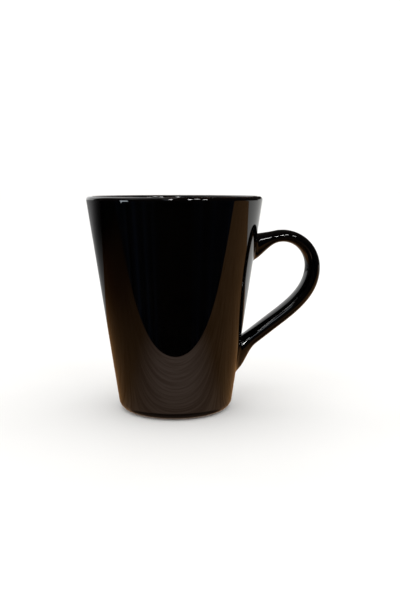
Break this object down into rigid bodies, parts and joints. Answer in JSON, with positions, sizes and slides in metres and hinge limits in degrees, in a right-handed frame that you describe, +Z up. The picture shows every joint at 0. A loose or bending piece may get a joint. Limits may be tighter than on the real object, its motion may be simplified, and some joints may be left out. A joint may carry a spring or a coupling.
{
  "type": "ceramic mug",
  "caption": "Tall tapered ceramic mug in glossy black glaze, with an ear-shaped strap handle and a bare foot ring.",
  "frame": {"origin": "on the surface the mug stands on, under the middle of the overall length from rim to handle, in the plane of the handle", "axes": "+Z up out of the mouth, +X towards the handle, which lies in the XZ plane"},
  "size_m": [0.121, 0.0884, 0.1087],
  "materials": {
    "glaze": "high gloss black glaze",
    "bare_clay": "unglazed fired stoneware, fine grit"
  },
  "bodies": {
    "root": {"cup_body": "glaze", "foot_ring": "bare_clay", "handle": "glaze", "upper_handle_joint": "glaze", "lower_handle_joint": "glaze"}
  },
  "joints": []
}
